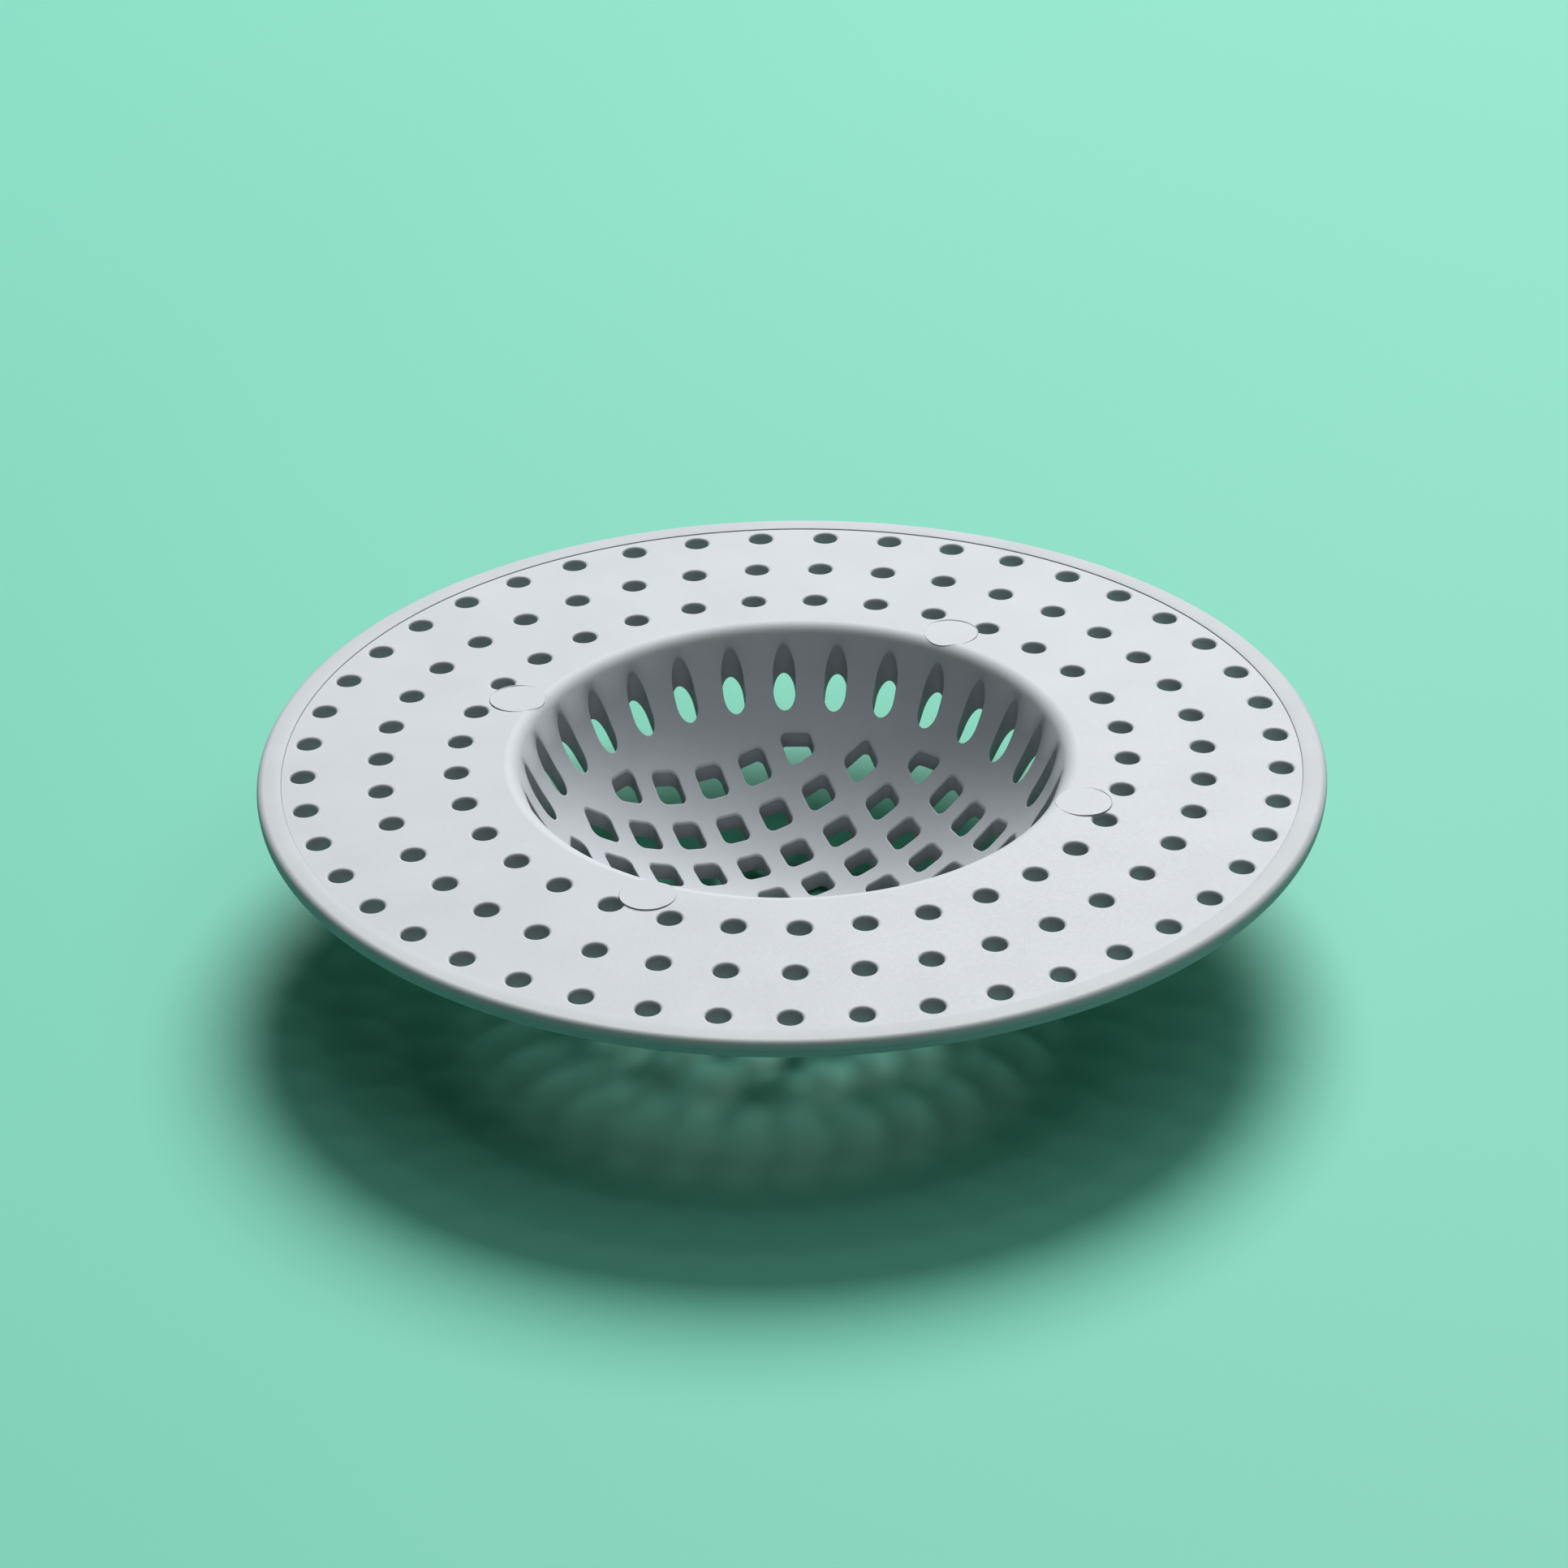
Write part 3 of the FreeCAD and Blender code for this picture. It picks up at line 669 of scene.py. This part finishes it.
# %% Walls of the openings
SLOT_ROUND = 0.15
WINDOW_ROUND = 0.25
SLOT_FOOT_ROUND = 0.12
PEG_R = 31.4
PEG_HOLES = (3, 12, 19, 28)
PEG_STEP_SHARE = 0.4
SHANK_R = 0.9
SEAT_GAP = 0.03
SEAT_ROUND = 0.05
SEAT_DEPTH = 0.5
peg_spins = [(hole + PEG_STEP_SHARE) * 2 * math.pi / HOLE_RINGS[0][1] for hole in PEG_HOLES]

bowl = Moulding()
upper_loops, lower_loops = [], []
openings = [(slot, SLOT_ROUND) for slot in slots] + [(window, WINDOW_ROUND) for window in windows]
for opening, rounding in openings:
    upper, upper_wall = soft_edge(bowl, opening, bowl_inside, 1, rounding, UPPER_STEPS)
    lower, lower_wall = soft_edge(bowl, opening, bowl_outside, -1, SLOT_FOOT_ROUND, LOWER_STEPS)
    bowl.strip(upper_wall, lower_wall)
    upper_loops.append(upper)
    lower_loops.append(lower)

# The pegs' shanks come through the collar, each in a close seat.
seats = [Opening([(PEG_R * math.cos(spin), PEG_R * math.sin(spin))], SHANK_R + SEAT_GAP)
         for spin in peg_spins]
for seat in seats:
    lower, wall = soft_edge(bowl, seat, bowl_outside, -1, SEAT_ROUND, LOWER_STEPS)
    roof_points = np.array([bowl.points[index] for index in wall]) + np.array([0, 0, SEAT_DEPTH])
    roof = bowl.add(roof_points, np.column_stack([-seat.directions, np.zeros(len(wall))]))
    bowl.strip(wall, roof)
    bowl.face(roof, [np.array([0, 0, -1.0])] * len(roof))
    lower_loops.append(lower)
print("%d seats for pegs" % len(seats))

# %% Borders and faces of the bowl
BOWL_START = 0.4
BOWL_STEP = 0.8
BOWL_SPACING = 0.9
BOWL_CLEAR = 0.3
WALL_END_R = 27.2
LIP_FIRST_R = 27.5
LIP_TURNS = np.radians(np.arange(6, 60, 6))
UNDER_START = 0.1
UNDER_RINGS = 8
COLLAR_START = 0.6
COLLAR_STEP = 0.7

mouth = bowl.ring(MOUTH_R, MOUTH_Z, FLANGE_SLOPE, 1)
lap_inner = bowl.ring(MOUTH_R, lap_face(MOUTH_R), 1, 0)
lap_outer = bowl.ring(COLLAR_R, lap_face(COLLAR_R), 1, 0)
collar_face, collar_wall = soft_ring(bowl, COLLAR_R, bowl_outside, -1, -1, JOINT_ROUND)
bowl.band(mouth, lap_inner, 1, 0)
bowl.band(lap_inner, lap_outer, FLANGE_SLOPE, 1)
bowl.band(lap_outer, collar_wall, 1, 0)

lip_rings = lip_centre[0] - LIP_ROUND * np.sin(LIP_TURNS)
inside_radii = np.concatenate([np.arange(BOWL_START, WALL_END_R, BOWL_STEP),
                               lip_rings[lip_rings > LIP_FIRST_R]])
fill_face(bowl, bowl_inside, 1, openings, upper_loops,
          [mouth], spare_points(inside_radii, BOWL_SPACING), BOWL_CLEAR)
outside_radii = np.concatenate([
    np.arange(BOWL_START, under_start[0] - BOWL_START, BOWL_STEP), [FOOT_R],
    np.linspace(under_start[0] - UNDER_START, under_end[0], UNDER_RINGS),
    np.arange(under_end[0] + COLLAR_START, COLLAR_R - BOWL_CLEAR, COLLAR_STEP)])
outside_openings = [(opening, SLOT_FOOT_ROUND) for opening in slots + windows]
outside_openings += [(seat, SEAT_ROUND) for seat in seats]
fill_face(bowl, bowl_outside, -1, outside_openings, lower_loops,
          [collar_face], spare_points(outside_radii, BOWL_SPACING), BOWL_CLEAR)
bowl_piece = add_piece("bowl_moulding", bowl, "strainer_bowl")

# %% [markdown]
# ## Turned pieces
# The rim and the pegs are plain turned shapes, so a section spun round an axis makes them, as a lathe
# would. Blender's Spin or Screw could do it; the loops here do the same, and keep corners crisp where the
# section bends sharply and smooth where it bends gently.

# %% Lathe
SHARP_BEND = math.radians(35)


def arc_points(centre, radius, start, end, steps):
    """Points of an arc in the section, between two angles in degrees."""
    spin = np.radians(np.linspace(start, end, steps + 1))
    return [(centre[0] + radius * math.cos(a), centre[1] + radius * math.sin(a)) for a in spin]


def turn_section(section, count):
    """A moulding made by spinning a closed section, anticlockwise in (radius, height), about the axis."""
    section = np.array(section)
    total = len(section)
    along = unit(np.roll(section, -1, 0) - section)
    facing = np.column_stack([along[:, 1], -along[:, 0]])
    spin = np.arange(count) * 2 * math.pi / count
    cos, sin = np.cos(spin), np.sin(spin)
    turned = Moulding()
    loops = []
    for radius, height in section:
        points = np.column_stack([radius * cos, radius * sin, np.full(count, height)])
        loops.append(turned.add(points, np.column_stack([cos, sin, np.zeros(count)])))

    def spun(normal):
        return unit(np.column_stack([normal[0] * cos, normal[0] * sin, np.full(count, normal[1])]))

    for line in range(total):
        ends = []
        for other in (line - 1, line + 1):
            gentle = facing[line] @ facing[other % total] > math.cos(SHARP_BEND)
            ends.append(spun(facing[line] + facing[other % total] if gentle else facing[line]))
        turned.strip(loops[line], loops[(line + 1) % total], ends[0], ends[1])
    return turned


print("bends over %.0f degrees stay sharp" % math.degrees(SHARP_BEND))

# %% [markdown]
# ## The rim
# The rim stands a hair above the flange, which draws the fine line that runs round the strainer. Its outer
# edge is rounded above and below. Half-way down it steps back by a few hundredths: that is where the two
# halves of the mould meet, and the step shows as a thin bright line on the side.

# %% Rim
RIM_STEPS = 480
RIM_RAISE = 0.1
RIM_TOP = flange_top(SEAM_R) + RIM_RAISE
RIM_FOOT = flange_foot(SEAM_R)
PARTING_Z = (flange_top(SEAM_R) + RIM_FOOT) / 2
PARTING_STEP = 0.06
PARTING_HALF = 0.02
PARTING_R = OUTER_R - PARTING_STEP
RIM_ROUND = 0.75
FOOT_ROUND = 0.495
RIM_CROWN = 0.03
RIM_TURN = 87
RIM_ARC_STEPS = 14
FOOT_ARC_STEPS = 8
SMALL_ARC_STEPS = 4

seam_top = (SEAM_R + JOINT_ROUND, RIM_TOP - JOINT_ROUND)
seam_foot = (SEAM_R + JOINT_ROUND, RIM_FOOT + JOINT_ROUND)
rim_section = [(SEAM_R, TONGUE_FOOT), (SEAM_R, RIM_FOOT + JOINT_ROUND)]
rim_section += arc_points(seam_foot, JOINT_ROUND, 180, 270, SMALL_ARC_STEPS)[1:]
rim_section += arc_points((PARTING_R - FOOT_ROUND, RIM_FOOT + FOOT_ROUND), FOOT_ROUND, -90, 0, FOOT_ARC_STEPS)
rim_section += [(PARTING_R, PARTING_Z - PARTING_HALF), (OUTER_R, PARTING_Z + PARTING_HALF)]
rim_section += arc_points((OUTER_R - RIM_ROUND, RIM_TOP - RIM_CROWN - RIM_ROUND), RIM_ROUND,
                          0, RIM_TURN, RIM_ARC_STEPS)
rim_section += [((SEAM_R + OUTER_R - RIM_ROUND) / 2, RIM_TOP)]
rim_section += arc_points(seam_top, JOINT_ROUND, 90, 180, SMALL_ARC_STEPS)
rim_section += [(SEAM_R, TONGUE_TOP), (TONGUE_R, TONGUE_TOP), (TONGUE_R, TONGUE_FOOT)]
rim = turn_section(rim_section, RIM_STEPS)
rim_piece = add_piece("rim_moulding", rim, "rim_ring")

# %% [markdown]
# ## The pegs
# Four pegs hold the bowl's collar to the flange. All that shows is a flat head almost flush with the
# surface. Pressing the pegs in has pushed up a fine burr round each head, highest on its outer side. With
# the light behind it, that burr draws the thin dark line in the picture, though it is only a tenth of a
# millimetre high. Towards the mouth the head leans over with the lip.

# %% Pegs
PEG_STEPS = 96
HEAD_R = 2.9
HEAD_THICK = 0.4
HEAD_PROUD = 0.03
SOLID_PROUD = 0.1
LIP_SHARE = 0.85
BURR_HEIGHT = 0.12
BURR_WIDTH = 0.14
BURR_SHOULDER_SHARE = 0.8
BURR_SPREAD_SHARE = 0.5
HEAD_RADII = (0.6, 1.2, 1.7, 2.1, 2.4, 2.6, HEAD_R - BURR_WIDTH)
HEAD_TOP = flange_top(PEG_R) + SOLID_PROUD
SHANK_FOOT = flange_foot(PEG_R)
SHANK_ROUND = 0.12

peg_turns = np.arange(PEG_STEPS) * 2 * math.pi / PEG_STEPS
peg_circle = np.column_stack([np.cos(peg_turns), np.sin(peg_turns)])
burr_shares = np.clip(np.cos(peg_turns) + BURR_SPREAD_SHARE, 0, 1)


def head_height(plan):
    """Height of a peg's head over plan points, for a peg that stands on +X; never above its solid."""
    radius = np.linalg.norm(plan, axis=-1)
    flat = flange_top(radius)
    return np.minimum(flat + LIP_SHARE * (bowl_inside(radius) - flat) + HEAD_PROUD, HEAD_TOP)


def head_loop(peg, radius, lift, normals):
    """A loop of points round a peg's head, lifted off it by a height."""
    plan = radius * peg_circle + np.array([PEG_R, 0])
    return peg.add(np.column_stack([plan, head_height(plan) + lift]), normals)


def make_peg():
    """A peg on +X: loops from the middle of its head out to the burr, then down to the shank."""
    peg = Moulding()
    upward = np.tile([FLANGE_SLOPE, 0, 1.0], (PEG_STEPS, 1))
    outward = np.column_stack([peg_circle, np.zeros(PEG_STEPS)])
    loops = [head_loop(peg, radius, 0, upward) for radius in HEAD_RADII]
    crest = BURR_HEIGHT * burr_shares
    shoulder = upward - outward * burr_shares[:, None]
    loops.append(head_loop(peg, HEAD_R - BURR_WIDTH / 2, crest * BURR_SHOULDER_SHARE, shoulder))
    loops.append(head_loop(peg, HEAD_R - BURR_WIDTH / 4, crest, upward))
    loops.append(head_loop(peg, HEAD_R, crest - BURR_WIDTH / 4, outward))
    loops.append(head_loop(peg, HEAD_R, -HEAD_THICK, outward))
    for first, second in zip(loops, loops[1:]):
        peg.strip(first, second)
    peg.face(loops[0])
    shank = [(SHANK_R, flange_top(PEG_R) - HEAD_THICK)]
    shank_bend = (SHANK_R - SHANK_ROUND, SHANK_FOOT + SHANK_ROUND)
    shank += arc_points(shank_bend, SHANK_ROUND, 0, -90, SMALL_ARC_STEPS)
    sides = []
    for radius, height in shank:
        points = np.column_stack([radius * peg_circle + np.array([PEG_R, 0]), np.full(PEG_STEPS, height)])
        down_share = 1 - (height - SHANK_FOOT) / SHANK_ROUND if height < SHANK_FOOT + SHANK_ROUND else 0
        sides.append(peg.add(points, outward * (1 - down_share) - np.array([0, 0, down_share])))
    for first, second in zip(sides, sides[1:]):
        peg.strip(first, second)
    down_normals = np.tile([0, 0, -1.0], (PEG_STEPS, 1))
    peg.strip(loops[-1], sides[0], down_normals, down_normals)
    peg.face(sides[-1], down_normals)
    return peg


peg_pieces = []
for number, spin in enumerate(peg_spins, start=1):
    peg = make_peg()
    turned = np.array([[math.cos(spin), math.sin(spin), 0], [-math.sin(spin), math.cos(spin), 0], [0, 0, 1]])
    peg.points = list(np.array(peg.points) @ turned)
    peg.face_normals = [np.array(directions) @ turned for directions in peg.face_normals]
    peg_pieces.append(add_piece("peg_head_%d" % number, peg, "collar_peg_%d" % number))

# %% [markdown]
# ## Moulded polypropylene
# The strainer is polypropylene, dyed a light cool grey and moulded in a steel tool. Polypropylene has an
# index of refraction near 1.49 and a soft, waxy sheen. The tool's face was spark-eroded on the flange,
# which leaves a fine even grain, and polished finer in the bowl. The melt runs outwards from the middle
# and leaves faint paler and darker streaks along its way. Grain this fine is a tenth of a millimetre on
# the real part; it is drawn about three times as coarse, so that it shows in the picture at all. The
# upright walls of the openings get a deeper tone than the faces: that is painted shade, for the shade that
# lies inside the holes, slots and windows.

# %% Material
PLASTIC_IOR = 1.49
CLOUD_SIZE = 9.0
STREAK_STEPS = 12.0
STREAK_SHARE = 0.25
# Heights of the normal between which the painted shade on upright walls fades out.
PAINTED_SHADE_LEAN = (0.04, 0.22)
TINT_RANGE = (0.4, 0.85)
GRAIN_RANGE = (0.3, 0.7)
SHEEN_SPREAD = 0.05
FINE_DETAIL = 2.0
CLOUD_DETAIL = 3.0


def moulded_polypropylene(name, pale, deep, roughness, shine, grain_size, grain_depth, painted_wall_shade=1.0):
    """Dyed polypropylene: two close tints, flow streaks and the tool's grain. Upright faces, the walls of the
    openings, can get a painted shade. Sizes in millimetres.
    """
    material = bpy.data.materials.new(name)
    material.use_nodes = True
    tree = material.node_tree
    shader = tree.nodes["Principled BSDF"]
    spot = add_node(tree, "ShaderNodeTexCoord")
    place = spot.outputs["Object"]
    flat = add_node(tree, "ShaderNodeVectorMath", {0: place, 1: (1, 1, 0)}, operation="MULTIPLY").outputs[0]
    spoke = add_node(tree, "ShaderNodeVectorMath", {0: flat}, operation="NORMALIZE").outputs[0]
    patterns = []
    for where, scale, detail in ((spoke, STREAK_STEPS, FINE_DETAIL),
                                 (place, 1 / (CLOUD_SIZE * MM), CLOUD_DETAIL),
                                 (place, 1 / (grain_size * MM), FINE_DETAIL)):
        noise = add_node(tree, "ShaderNodeTexNoise", {"Vector": where, "Scale": scale, "Detail": detail})
        patterns.append(noise.outputs["Fac"])
    streaks, clouds, grain = patterns
    blend = add_node(tree, "ShaderNodeMath", {0: streaks, 1: STREAK_SHARE, 2: clouds},
                     operation="MULTIPLY_ADD")
    tint = add_node(tree, "ShaderNodeMapRange",
                    {"Value": blend.outputs[0], "From Min": TINT_RANGE[0], "From Max": TINT_RANGE[1],
                     "To Min": 0.0, "To Max": 1.0})
    colour = add_node(tree, "ShaderNodeMix",
                      {0: tint.outputs[0], 6: linear(deep), 7: linear(pale)}, data_type="RGBA").outputs[2]
    # Painted shade: upright faces, the walls of the openings, are darkened down to a share of the tint.
    if painted_wall_shade < 1:
        upward = add_node(tree, "ShaderNodeSeparateXYZ", {0: spot.outputs["Normal"]}).outputs["Z"]
        lean = add_node(tree, "ShaderNodeMath", {0: upward}, operation="ABSOLUTE").outputs[0]
        painted_shade_tone = add_node(tree, "ShaderNodeMapRange",
                        {"Value": lean, "From Min": PAINTED_SHADE_LEAN[0], "From Max": PAINTED_SHADE_LEAN[1],
                         "To Min": painted_wall_shade, "To Max": 1.0}).outputs[0]
        shaded_colour_node = add_node(tree, "ShaderNodeVectorMath", {0: colour, "Scale": painted_shade_tone}, operation="SCALE")
        colour = shaded_colour_node.outputs[0]
    sheen = add_node(tree, "ShaderNodeMapRange",
                     {"Value": grain, "From Min": GRAIN_RANGE[0], "From Max": GRAIN_RANGE[1],
                      "To Min": roughness - SHEEN_SPREAD, "To Max": roughness + SHEEN_SPREAD})
    bump = add_node(tree, "ShaderNodeBump",
                    {"Height": grain, "Strength": 1.0, "Distance": grain_depth * MM})
    shader.inputs["IOR"].default_value = PLASTIC_IOR
    shader.inputs["Specular IOR Level"].default_value = shine
    tree.links.new(colour, shader.inputs["Base Color"])
    tree.links.new(sheen.outputs[0], shader.inputs["Roughness"])
    tree.links.new(bump.outputs[0], shader.inputs["Normal"])
    return material


# %% Finishes
# A spark-eroded tool leaves an even grain, which breaks up the shine. The walls of its holes get a light
# painted shade.
flange_finish = moulded_polypropylene(
    "grained polypropylene", pale="#ACAFB4", deep="#A7AAAF", roughness=0.52, shine=0.12,
    grain_size=0.30, grain_depth=0.008, painted_wall_shade=0.9)
# The rim's groove in the tool was turned, so its grain is finer and it looks more even.
rim_finish = moulded_polypropylene(
    "satin polypropylene", pale="#A8ABAF", deep="#A3A6AA", roughness=0.54, shine=0.11,
    grain_size=0.25, grain_depth=0.003)
# The bowl's core was polished finer; light that bounces about inside the bowl makes it look soft. Its tint is a
# touch paler than the flange's, painted light for more light inside the bowl, and the walls of its slots and
# windows get a deep painted shade.
bowl_finish = moulded_polypropylene(
    "smooth polypropylene", pale="#B0B3B8", deep="#ABAEB3", roughness=0.60, shine=0.14,
    grain_size=0.25, grain_depth=0.003, painted_wall_shade=0.66)
# The pegs' heads have almost no grain, so they show as plain discs.
peg_finish = moulded_polypropylene(
    "plain polypropylene", pale="#ACAFB4", deep="#A8ABB0", roughness=0.52, shine=0.12,
    grain_size=0.25, grain_depth=0.002)

dressed = ((flange_finish, [flange_piece]), (rim_finish, [rim_piece]), (bowl_finish, [bowl_piece]),
           (peg_finish, peg_pieces))
for finish, pieces in dressed:
    for piece in pieces:
        piece.data.materials.append(finish)
    print("%s on %d" % (finish.name, len(pieces)))

# %% [markdown]
# ## Last step
# The dressed strainer has to be just as large as its solids; here the scene is only brought up to date.

# %% Update the scene
bpy.context.view_layer.update()
